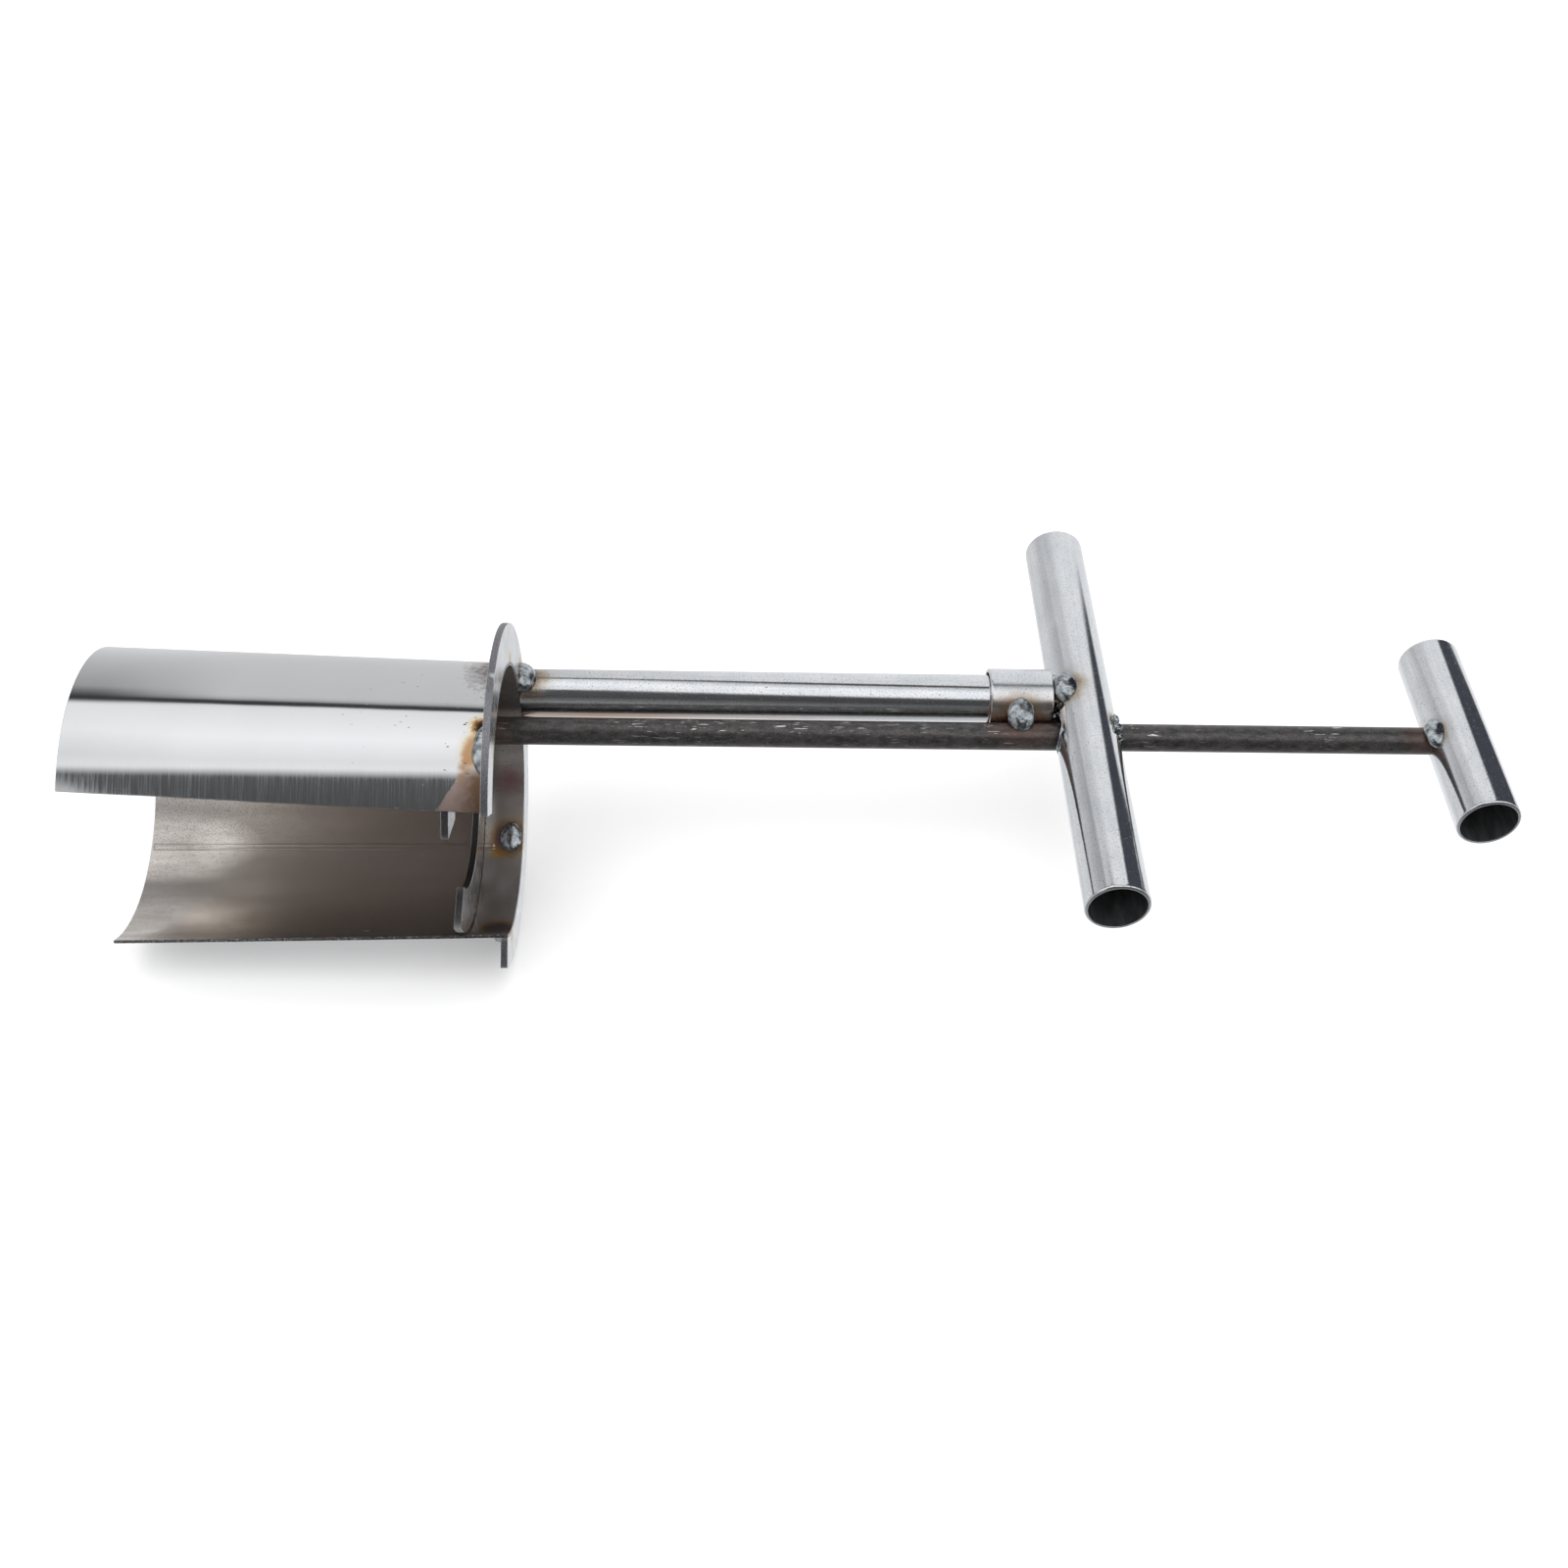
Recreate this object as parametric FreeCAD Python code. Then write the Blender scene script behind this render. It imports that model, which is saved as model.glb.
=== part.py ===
import FreeCAD, Part
import math
import os

# Hand soil plug digger with a sliding ejector.
# Frame: millimetres, +X from the cutting rim to the push handle, +Z up, window facing -Y.
# The origin is the centre of the cutting rim.

# --- soil-cutting shell: a C-shaped sleeve that has sprung slightly open at the mouth
SHELL_MOUTH_R = 61.4        # outside radius at the cutting rim
SHELL_FLANGE_R = 57.0       # outside radius where it enters the step flange
SHELL_WALL = 1.4
SHELL_TAPER_LEN = 158.0     # the last stretch, under the flange, is cylindrical
WINDOW_HALF_MOUTH = 49.3    # half opening of the side window, degrees
WINDOW_HALF_FLANGE = 42.3
WINDOW_OVERRUN = 4.0        # past each end of the shell
WINDOW_REACH = 98.0         # well past the flange's rim
SEAM_ANGLE = -69.3          # longitudinal weld seam on the inner wall, degrees from +Y
SEAM_WIDTH = 3.2
SEAM_HEIGHT = 0.3
SEAM_START_X = 1.0
SEAM_END_X = 151.5

# --- step flange: C ring the foot presses on
FLANGE_X = 160.5
FLANGE_T = 3.0
FLANGE_OUT_R = 71.4
FLANGE_OFFSET = 2.8         # the disc is cut wider on the stem's side

# --- pipe stock
HANDLE_R = 13.45            # 26.9 mm pipe: both handles and the guide sleeve
HANDLE_WALL = 1.5
LIP_R = 0.6                 # deburred lip on the open pipe ends
STEM_R = 10.65              # 21.3 mm pipe
STEM_WALL = 1.6
ROD_R = 6.0

# --- layout across the tool (Y, Z)
STEM_Y = 63.7
ROD_Y = 44.4
ROD_Z = -3.9
SLEEVE_OFFSET = 0.15        # the loose sleeve hangs this far towards the rod

# --- layout along the tool (X)
GRIP_X = 409.4              # axis of the large cross handle
GRIP_Y_CENTRE = 55.2
GRIP_LEN = 220.0
PUSH_X = 575.0              # axis of the small push handle
PUSH_Y_CENTRE = 46.5
PUSH_LEN = 101.0
SLEEVE_LEN = 27.5
SLEEVE_REST_GAP = 0.5       # between the sleeve and the cross handle at rest

# --- pusher plate inside the shell
PUSHER_X = 143.5
PUSHER_T = 3.0
PUSHER_OUT_R = 54.6
PUSHER_IN_R = 36.5
PUSHER_GAP_CENTRE = 176.5   # opposite the rod
PUSHER_GAP_HALF_OUT = 28.0  # at the outer edge
PUSHER_GAP_HALF_IN = 32.0   # at the inner edge
PUSHER_CORNER_R = 1.0

# --- torch-cut rod holes through the cross handle
HOLE_R = 9.2
HOLE_Y = 43.8
HOLE_Z = -2.1
HOLE_POINTS = 24
HOLE_WAVES = ((2, 0.35, 1), (3, 0.25, 2), (7, 0.16, 3))     # lobes, depth, turns of the phase
ENTRY_PHASE = 0.4
OUTLET_PHASE = 2.1
HOLE_BEADS = ((96.0, 10.9, 2.2), (117.0, 10.8, 2.4), (138.0, 10.6, 1.6))    # angle, reach, radius
BEAD_PROUD = 0.4            # how far a bead's centre stands off the pipe

# --- weld deposits: half sizes along the tool, along the joint, and out from it
STITCHES = ((112.8, 9.5), (46.8, 9.0), (-64.8, 9.0), (-123.5, 8.5))     # angle, half length
STITCH_HALF_X = 4.8
STITCH_HALF_OUT = 3.1
STITCH_SEAT = (-0.3, 0.4)   # centre from the flange's soil side and from the shell's wall
STITCH_CLEAR = 0.02         # between a stitch and the curve of the shell
BUTTON_HALF = (4.2, 6.0, 1.7)
BUTTON_BACK = 2.2           # from the flange's soil side
BUTTON_FROM_SEAM = 4.8      # degrees
STEM_FOOT_HALF = (6.0, 6.8, 4.0)
STEM_FOOT_SEAT = (0.6, 0.3)     # centre from the flange's handle side and from the stem's wall
STEM_FOOT_ANGLES = (98.7, -98.7)
STEM_HEAD_HALF = (5.6, 7.6, 4.4)
STEM_HEAD_ANGLES = (109.5, -100.0)
STEM_HEAD_BACK = 8.6        # from the cross handle's axis
STEM_HEAD_LIFT = 0.6        # from the stem's wall
SLEEVE_CLEAR = 0.35         # between the stem's head weld and the resting sleeve
SLEEVE_NUGGET_HALF = (6.2, 8.2, 3.9)
SLEEVE_NUGGET_SEAT = (-0.8, 4.7, 8.5)       # from the sleeve's middle and the rod's axis
SLEEVE_NUGGET_TILT = 32.0
ROD_HEAD_WELDS = ((102.0, 7.3), (-48.0, 5.6))   # angle, half length
ROD_HEAD_HALF_X = 5.4
ROD_HEAD_HALF_OUT = 3.6
ROD_HEAD_SINK = 1.4         # into the push handle's wall line
ROD_HEAD_LIFT = 0.5         # from the rod's surface
ROD_FOOT_REACH = 3.0        # fillet leg on the plate and along the rod
ROD_FOOT_LIP = 0.3

SHELL_END_X = FLANGE_X + FLANGE_T
OVERRUN = 1.0               # how far a cutting shape runs past what it cuts
NEARBY = 40.0               # half length of the stock a weld deposit is trimmed against
X_DIR = FreeCAD.Vector(1, 0, 0)
Y_DIR = FreeCAD.Vector(0, 1, 0)
ORIGIN = FreeCAD.Vector(0, 0, 0)


def polar(x, radius, degrees, y=0.0, z=0.0):
    """Point at an angle from +Y towards +Z around an axis parallel to X."""
    angle = math.radians(degrees)
    return FreeCAD.Vector(x, y + radius * math.cos(angle), z + radius * math.sin(angle))


def bar_x(x0, x1, radius, y=0.0, z=0.0):
    return Part.makeCylinder(radius, x1 - x0, FreeCAD.Vector(x0, y, z), X_DIR)


def bar_y(y0, y1, radius, x, z=0.0):
    return Part.makeCylinder(radius, y1 - y0, FreeCAD.Vector(x, y0, z), Y_DIR)


def shell_radius(x):
    """Outside radius of the shell at a station along the tool."""
    part_way = min(x, SHELL_TAPER_LEN) / SHELL_TAPER_LEN
    return SHELL_MOUTH_R + (SHELL_FLANGE_R - SHELL_MOUTH_R) * part_way


def shell_layer(r_drop_outer, r_drop_inner, x0, x1):
    """Body of revolution between two offsets inside the shell's outer surface."""
    stations = [x0, min(SHELL_TAPER_LEN, x1)]
    if x1 > SHELL_TAPER_LEN:
        stations.append(x1)
    outer = [FreeCAD.Vector(x, shell_radius(x) - r_drop_outer, 0) for x in stations]
    inner = [FreeCAD.Vector(x, shell_radius(x) - r_drop_inner, 0) for x in reversed(stations)]
    loop = outer + inner
    return Part.Face(Part.makePolygon(loop + [loop[0]]))


def window_wedge():
    """Tapered wedge that leaves the side window open."""
    wires = []
    ends = (
        (-WINDOW_OVERRUN, WINDOW_HALF_MOUTH),
        (SHELL_END_X + WINDOW_OVERRUN, WINDOW_HALF_FLANGE),
    )
    for x, half in ends:
        corners = [
            FreeCAD.Vector(x, 0, 0),
            polar(x, WINDOW_REACH, 180.0 - half),
            polar(x, WINDOW_REACH, 180.0 + half),
        ]
        wires.append(Part.makePolygon(corners + [corners[0]]))
    return Part.makeLoft(wires, True, True)


def core_shell():
    wall = shell_layer(0.0, SHELL_WALL, 0.0, SHELL_END_X).revolve(ORIGIN, X_DIR, 360)
    return wall.cut(window_wedge())


def shell_seam():
    """Low weld bead running along the inner wall."""
    face = shell_layer(SHELL_WALL, SHELL_WALL + SEAM_HEIGHT, SEAM_START_X, SEAM_END_X)
    sweep = math.degrees(SEAM_WIDTH / SHELL_FLANGE_R)
    face.rotate(ORIGIN, X_DIR, SEAM_ANGLE - 0.5 * sweep)
    return face.revolve(ORIGIN, X_DIR, sweep)


def step_flange():
    """Ring plate, opened by the same cut that makes the shell's window."""
    disc = bar_x(FLANGE_X, SHELL_END_X, FLANGE_OUT_R, FLANGE_OFFSET)
    ring = disc.cut(bar_x(FLANGE_X - OVERRUN, SHELL_END_X + OVERRUN, SHELL_FLANGE_R))
    return ring.cut(window_wedge())


def pipe_y(y0, y1, x, z=0.0):
    """Handle pipe across the tool with deburred lips at both open ends."""
    pipe = bar_y(y0, y1, HANDLE_R, x, z)
    rims = [edge for edge in pipe.Edges if abs(edge.Length - 2 * math.pi * HANDLE_R) < 0.01]
    pipe = pipe.makeFillet(LIP_R, rims)
    return pipe.cut(bar_y(y0 - OVERRUN, y1 + OVERRUN, HANDLE_R - HANDLE_WALL, x, z))


def torch_hole(x0, x1, phase):
    """Uneven round hole, as a torch leaves it, cut along X."""
    points = []
    for index in range(HOLE_POINTS):
        angle = 2.0 * math.pi * index / HOLE_POINTS
        wobble = sum(depth * math.sin(lobes * angle + turns * phase) for lobes, depth, turns in HOLE_WAVES)
        points.append(polar(x0, HOLE_R + wobble, math.degrees(angle), HOLE_Y, HOLE_Z))
    curve = Part.BSplineCurve()
    curve.interpolate(Points=points, PeriodicFlag=True)
    return Part.Face(Part.Wire(curve.toShape())).extrude(X_DIR * (x1 - x0))


def cross_handle():
    y0 = GRIP_Y_CENTRE - 0.5 * GRIP_LEN
    pipe = pipe_y(y0, y0 + GRIP_LEN, GRIP_X)
    entry = torch_hole(GRIP_X - HANDLE_R - OVERRUN, GRIP_X, ENTRY_PHASE)
    outlet = torch_hole(GRIP_X, GRIP_X + HANDLE_R + OVERRUN, OUTLET_PHASE)
    return pipe.cut(entry).cut(outlet)


def main_stem():
    """Straight pipe from the flange, coped to sit on the cross handle."""
    pipe = bar_x(SHELL_END_X, GRIP_X, STEM_R, STEM_Y)
    pipe = pipe.cut(bar_x(SHELL_END_X - OVERRUN, GRIP_X, STEM_R - STEM_WALL, STEM_Y))
    return pipe.cut(bar_y(STEM_Y - NEARBY, STEM_Y + NEARBY, HANDLE_R, GRIP_X))


def push_rod():
    rod = bar_x(PUSHER_X + PUSHER_T, PUSH_X, ROD_R, ROD_Y, ROD_Z)
    return rod.cut(bar_y(ROD_Y - NEARBY, ROD_Y + NEARBY, HANDLE_R, PUSH_X, ROD_Z))


def push_handle():
    y0 = PUSH_Y_CENTRE - 0.5 * PUSH_LEN
    return pipe_y(y0, y0 + PUSH_LEN, PUSH_X, ROD_Z)


def sleeve_centre():
    """The sleeve sits off the stem axis, pulled towards the rod it is welded to."""
    towards_rod = FreeCAD.Vector(0, ROD_Y - STEM_Y, ROD_Z)
    towards_rod.normalize()
    return FreeCAD.Vector(0, STEM_Y, 0) + towards_rod * SLEEVE_OFFSET


def sleeve_span():
    x1 = GRIP_X - HANDLE_R - SLEEVE_REST_GAP
    return x1 - SLEEVE_LEN, x1


def guide_sleeve():
    x0, x1 = sleeve_span()
    centre = sleeve_centre()
    pipe = bar_x(x0, x1, HANDLE_R, centre.y, centre.z)
    return pipe.cut(bar_x(x0 - OVERRUN, x1 + OVERRUN, HANDLE_R - HANDLE_WALL, centre.y, centre.z))


def plate_arc(radius, gap_half):
    """Edge of the pusher plate, from one side of its gap round to the other."""
    start = PUSHER_GAP_CENTRE + gap_half - 360.0
    end = PUSHER_GAP_CENTRE - gap_half
    return [polar(PUSHER_X, radius, angle) for angle in (start, 0.5 * (start + end), end)]


def pusher_plate():
    """C-shaped plate that strokes the plug out of the shell."""
    outer = plate_arc(PUSHER_OUT_R, PUSHER_GAP_HALF_OUT)
    inner = plate_arc(PUSHER_IN_R, PUSHER_GAP_HALF_IN)
    edges = [
        Part.Arc(*outer).toShape(),
        Part.makeLine(outer[-1], inner[-1]),
        Part.Arc(*reversed(inner)).toShape(),
        Part.makeLine(inner[0], outer[0]),
    ]
    plate = Part.Face(Part.Wire(edges)).extrude(X_DIR * PUSHER_T)
    corners = [
        edge for edge in plate.Edges
        if abs(edge.Length - PUSHER_T) < 0.01 and len(edge.Vertexes) == 2
    ]
    return plate.makeFillet(PUSHER_CORNER_R, corners)


def nugget(centre, half_x, half_around, half_out, tilt):
    """Weld deposit: an ellipsoid, long way round lying at an angle in the YZ plane."""
    ball = Part.makeSphere(1.0)
    stretch = FreeCAD.Matrix()
    stretch.scale(half_x, half_around, half_out)
    deposit = ball.transformGeometry(stretch)
    deposit.rotate(ORIGIN, X_DIR, tilt)
    deposit.translate(centre)
    return deposit


def trimmed(deposit, neighbours):
    """What is left of a deposit outside the metal it joins."""
    for neighbour in neighbours:
        deposit = deposit.cut(neighbour)
    return max(deposit.Solids, key=lambda solid: solid.Volume)


def flange_shell_welds():
    """Stitch welds in the corner between the shell and the flange's soil side."""
    shell_side = shell_layer(-STITCH_CLEAR, NEARBY, FLANGE_X - NEARBY, SHELL_END_X)
    shell_solid = shell_side.revolve(ORIGIN, X_DIR, 360)
    flange_disc = bar_x(FLANGE_X, FLANGE_X + NEARBY, FLANGE_OUT_R)
    from_flange, from_wall = STITCH_SEAT
    welds = []
    for angle, half_around in STITCHES:
        centre = polar(FLANGE_X + from_flange, SHELL_FLANGE_R + from_wall, angle)
        deposit = nugget(centre, STITCH_HALF_X, half_around, STITCH_HALF_OUT, angle - 90.0)
        welds.append(trimmed(deposit, [shell_solid, flange_disc]))
    return Part.makeCompound(welds)


def shell_inner_weld():
    """Burn-through button on the inner wall, at the end of the seam."""
    bore_r = SHELL_FLANGE_R - SHELL_WALL
    angle = SEAM_ANGLE + BUTTON_FROM_SEAM
    deposit = nugget(polar(FLANGE_X - BUTTON_BACK, bore_r, angle), *BUTTON_HALF, angle - 90.0)
    return deposit.common(bar_x(FLANGE_X - NEARBY, SHELL_END_X, bore_r))


def stem_flange_welds():
    stem_solid = bar_x(SHELL_END_X - NEARBY, SHELL_END_X + NEARBY, STEM_R, STEM_Y)
    soil_side = bar_x(SHELL_END_X - NEARBY, SHELL_END_X, 2 * FLANGE_OUT_R)
    from_flange, from_wall = STEM_FOOT_SEAT
    welds = []
    for angle in STEM_FOOT_ANGLES:
        centre = polar(SHELL_END_X + from_flange, STEM_R + from_wall, angle, STEM_Y)
        deposit = nugget(centre, *STEM_FOOT_HALF, angle - 90.0)
        welds.append(trimmed(deposit, [stem_solid, soil_side]))
    return Part.makeCompound(welds)


def stem_handle_welds():
    stem_solid = bar_x(GRIP_X - NEARBY, GRIP_X, STEM_R, STEM_Y)
    grip_solid = bar_y(STEM_Y - NEARBY, STEM_Y + NEARBY, HANDLE_R, GRIP_X)
    sleeve_side = bar_x(GRIP_X - NEARBY, sleeve_span()[1] + SLEEVE_CLEAR, NEARBY, STEM_Y)
    welds = []
    for angle in STEM_HEAD_ANGLES:
        centre = polar(GRIP_X - STEM_HEAD_BACK, STEM_R + STEM_HEAD_LIFT, angle, STEM_Y)
        deposit = nugget(centre, *STEM_HEAD_HALF, angle - 90.0)
        welds.append(trimmed(deposit, [stem_solid, grip_solid, sleeve_side]))
    return Part.makeCompound(welds)


def hole_spatter():
    """Beads of slag thrown up beside the outlet edge of the rod hole."""
    pipe_solid = bar_y(HOLE_Y - NEARBY, HOLE_Y + NEARBY, HANDLE_R, GRIP_X)
    beads = []
    for angle, reach, radius in HOLE_BEADS:
        seat = polar(GRIP_X, reach, angle, HOLE_Y, HOLE_Z)
        seat.x = GRIP_X + math.sqrt(HANDLE_R ** 2 - seat.z ** 2) + BEAD_PROUD
        beads.append(trimmed(Part.makeSphere(radius, seat), [pipe_solid]))
    return Part.makeCompound(beads)


def sleeve_rod_weld():
    """Large nugget bridging the groove between the sleeve and the rod."""
    centre = sleeve_centre()
    middle = sum(sleeve_span()) / 2
    sleeve_solid = bar_x(middle - NEARBY, middle + NEARBY, HANDLE_R, centre.y, centre.z)
    rod_solid = bar_x(middle - NEARBY, middle + NEARBY, ROD_R, ROD_Y, ROD_Z)
    seat = FreeCAD.Vector(middle, ROD_Y, ROD_Z) + FreeCAD.Vector(*SLEEVE_NUGGET_SEAT)
    deposit = nugget(seat, *SLEEVE_NUGGET_HALF, SLEEVE_NUGGET_TILT)
    return trimmed(deposit, [sleeve_solid, rod_solid])


def rod_handle_welds():
    rod_solid = bar_x(PUSH_X - NEARBY, PUSH_X, ROD_R, ROD_Y, ROD_Z)
    pipe_solid = bar_y(ROD_Y - NEARBY, ROD_Y + NEARBY, HANDLE_R, PUSH_X, ROD_Z)
    welds = []
    for angle, half_around in ROD_HEAD_WELDS:
        seat_x = PUSH_X - HANDLE_R + ROD_HEAD_SINK
        seat = polar(seat_x, ROD_R + ROD_HEAD_LIFT, angle, ROD_Y, ROD_Z)
        deposit = nugget(seat, ROD_HEAD_HALF_X, half_around, ROD_HEAD_HALF_OUT, angle - 90.0)
        welds.append(trimmed(deposit, [rod_solid, pipe_solid]))
    return Part.makeCompound(welds)


def rod_plate_weld():
    """Fillet of weld right round the rod's foot on the pusher plate."""
    x0 = PUSHER_X + PUSHER_T
    foot = FreeCAD.Vector(x0, ROD_Y, ROD_Z)
    cone = Part.makeCone(ROD_R + ROD_FOOT_REACH, ROD_R + ROD_FOOT_LIP, ROD_FOOT_REACH, foot, X_DIR)
    return cone.cut(bar_x(x0 - OVERRUN, x0 + ROD_FOOT_REACH + OVERRUN, ROD_R, ROD_Y, ROD_Z))


NODES = {
    "core_shell": core_shell,
    "shell_seam": shell_seam,
    "step_flange": step_flange,
    "flange_shell_welds": flange_shell_welds,
    "shell_inner_weld": shell_inner_weld,
    "main_stem": main_stem,
    "stem_flange_welds": stem_flange_welds,
    "cross_handle": cross_handle,
    "stem_handle_welds": stem_handle_welds,
    "hole_spatter": hole_spatter,
    "push_rod": push_rod,
    "push_handle": push_handle,
    "guide_sleeve": guide_sleeve,
    "pusher_plate": pusher_plate,
    "sleeve_rod_weld": sleeve_rod_weld,
    "rod_handle_welds": rod_handle_welds,
    "rod_plate_weld": rod_plate_weld,
}

os.makedirs("parts", exist_ok=True)
for name, build in NODES.items():
    shape = build()
    shape.exportStep("parts/" + name + ".step")
    print(name, len(shape.Solids), "valid", shape.isValid(), "volume %.1f" % shape.Volume)
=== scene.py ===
import math

import bmesh
import bpy
from mathutils import Matrix, Vector, noise


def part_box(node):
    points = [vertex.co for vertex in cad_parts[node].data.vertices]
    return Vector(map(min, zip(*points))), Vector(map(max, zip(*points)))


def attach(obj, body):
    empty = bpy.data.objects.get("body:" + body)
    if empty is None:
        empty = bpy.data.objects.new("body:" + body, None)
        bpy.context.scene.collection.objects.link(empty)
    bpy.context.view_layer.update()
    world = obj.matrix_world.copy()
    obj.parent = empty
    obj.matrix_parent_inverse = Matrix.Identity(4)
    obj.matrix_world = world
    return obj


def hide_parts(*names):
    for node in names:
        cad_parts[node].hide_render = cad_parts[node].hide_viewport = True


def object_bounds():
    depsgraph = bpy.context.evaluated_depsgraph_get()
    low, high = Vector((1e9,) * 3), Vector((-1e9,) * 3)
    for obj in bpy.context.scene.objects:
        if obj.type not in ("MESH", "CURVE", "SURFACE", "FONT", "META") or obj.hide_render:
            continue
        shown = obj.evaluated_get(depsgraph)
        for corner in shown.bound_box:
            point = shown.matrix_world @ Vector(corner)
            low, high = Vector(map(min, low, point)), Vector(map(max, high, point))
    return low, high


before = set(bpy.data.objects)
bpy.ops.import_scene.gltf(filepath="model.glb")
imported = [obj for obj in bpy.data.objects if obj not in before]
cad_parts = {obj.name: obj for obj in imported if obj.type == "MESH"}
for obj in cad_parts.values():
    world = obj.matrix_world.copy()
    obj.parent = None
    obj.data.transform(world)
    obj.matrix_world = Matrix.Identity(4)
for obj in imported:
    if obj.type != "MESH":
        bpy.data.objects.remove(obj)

CAD_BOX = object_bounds()

# Lengths are metres. +X runs from the cutting rim to the push handle, +Z is up, and the window faces -Y.
MM = 0.001
DIGGER = "digger"
PUSHER = "pusher"

# --- shell
SHELL_WALL = 1.4 * MM
SHELL_FLANGE_R = 57.0 * MM
SHELL_TAPER_LEN = 158.0 * MM
WINDOW_HALF_MOUTH = math.radians(49.2)
WINDOW_HALF_FLANGE = math.radians(42.4)
SEAM_ANGLE = math.radians(-69.3)
SEAM_WIDTH = 3.2 * MM
SEAM_HEIGHT = 0.3 * MM

# --- pipes and the torch-cut rod holes
HANDLE_WALL = 1.5 * MM
STEM_WALL = 1.6 * MM
LIP_R = 0.62 * MM
HANDLE_LIP_R = 1.1 * MM      # both handles have rolled ends
HOLE_R = 9.2 * MM
HOLE_Y = 43.8 * MM
HOLE_Z = -2.1 * MM
HOLE_WAVES = ((2, 0.35 * MM, 1), (3, 0.25 * MM, 2), (7, 0.16 * MM, 3))     # lobes, depth, turns of the phase
ENTRY_PHASE = 0.4
OUTLET_PHASE = 2.1

# --- flange disc and pusher plate
FLANGE_DISC_R = 71.4 * MM
FLANGE_OFFSET = 2.8 * MM
PUSHER_IN_R = 36.5 * MM
PUSHER_GAP_CENTRE = math.radians(176.5)
PUSHER_GAP_HALF_OUT = math.radians(28.0)
PUSHER_GAP_HALF_IN = math.radians(32.0)

# --- small unevenness of hand-cut and hand-formed metal
EDGE_ROUND = 0.3 * MM
EDGE_WANDER = 0.25 * MM
WALL_WAVE = 0.05 * MM
GRIP_WAVE = 0.05 * MM
STEM_WAVE = 0.03 * MM
ROD_WAVE = 0.07 * MM

# --- marks on the shell's outside: (x, degrees round the axis from +Y) of the centre, then the half size
TOP_STAIN = (161 * MM, 64.0), (15 * MM, 24.0)
WELD_STREAK = (154.2 * MM, 114.0), (3.4 * MM, 13.0)
WELD_FRINGE = (157.4 * MM, 102.2), (5.6 * MM, 6.0)
SOOT_HALO = (158.0 * MM, 102.6), (4.2 * MM, 4.2)
SOOT_SPOT = (158.6 * MM, 102.6), (3.8 * MM, 3.2)
STREAK_LEAN = -0.26 * MM        # along the tool for each degree round it
BURNT_EDGE_X = 150 * MM         # where the burnt corner starts, at the angle below
BURNT_EDGE_TURN = 124.7
BURNT_EDGE_LEAN = 0.67 * MM     # along the tool for each degree round it
BRUSHED_FROM = 119.0            # the lower flank keeps its hoop brush lines
BRUSHED_FULL = 126.0

# --- marks on its inside; the first two are painted reflections
MOUTH_REFLECTION_PATCH = (34 * MM, -68.0), (17 * MM, 12.0)
LOW_REFLECTION_PATCH = (30 * MM, -108.0), (20 * MM, 13.0)
RED_MOTTLE = (157 * MM, -38.0), (9 * MM, 9.0)
STRAW_PATCH = (152.6 * MM, -72.5), (5 * MM, 3.4)

# --- view
CAMERA_PLACE = Vector((0.2508, -0.506, 0.5551))
VIEW_AZIMUTH = math.radians(2.942)
VIEW_DOWN = math.radians(47.0)
VIEW_ROLL = math.radians(2.754)
LENS_MM = 41.47


# ---------------------------------------------------------------- places read from the frame

def centre_of(node):
    low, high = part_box(node)
    return (low + high) / 2


def half_of(node):
    low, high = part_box(node)
    return (high - low) / 2


def islands(node):
    """Centre and half size of each separate solid in a CAD node."""
    bm = bmesh.new()
    bm.from_mesh(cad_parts[node].data)
    bmesh.ops.remove_doubles(bm, verts=bm.verts, dist=1e-6)
    left = set(bm.verts)
    found = []
    while left:
        stack = [left.pop()]
        group = []
        while stack:
            vert = stack.pop()
            group.append(vert.co.copy())
            for edge in vert.link_edges:
                other = edge.other_vert(vert)
                if other in left:
                    left.remove(other)
                    stack.append(other)
        low = Vector([min(co[i] for co in group) for i in range(3)])
        high = Vector([max(co[i] for co in group) for i in range(3)])
        found.append(((low + high) / 2, (high - low) / 2))
    bm.free()
    return sorted(found, key=lambda item: tuple(round(value, 6) for value in item[0]))


SHELL_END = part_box("core_shell")[1].x
SHELL_MOUTH_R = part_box("core_shell")[1].z
STEM = centre_of("main_stem")
STEM_R = half_of("main_stem").z
GRIP = centre_of("cross_handle")
GRIP_R = half_of("cross_handle").z
PUSH = centre_of("push_handle")
ROD = centre_of("push_rod")
ROD_R = half_of("push_rod").z


def heat_spots(reach, *nodes):
    """Where welding heated the metal: weld centres, each with the reach of its tint."""
    return [(centre, reach) for node in nodes for centre, _ in islands(node)]


# ---------------------------------------------------------------- shader building

class Wiring:
    """Adds and joins shader nodes in one tree."""

    def __init__(self, tree):
        self.tree = tree

    def node(self, kind, **settings):
        made = self.tree.nodes.new(kind)
        for key, value in settings.items():
            setattr(made, key, value)
        return made

    def feed(self, socket, value):
        if isinstance(value, bpy.types.NodeSocket):
            self.tree.links.new(value, socket)
        else:
            socket.default_value = value

    def mix(self, factor, first, second, blend="MIX"):
        made = self.node("ShaderNodeMix", data_type="RGBA", blend_type=blend)
        self.feed(made.inputs[0], factor)
        for socket, value in ((made.inputs[6], first), (made.inputs[7], second)):
            self.feed(socket, (*value, 1.0) if isinstance(value, tuple) and len(value) == 3 else value)
        return made.outputs[2]


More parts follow.
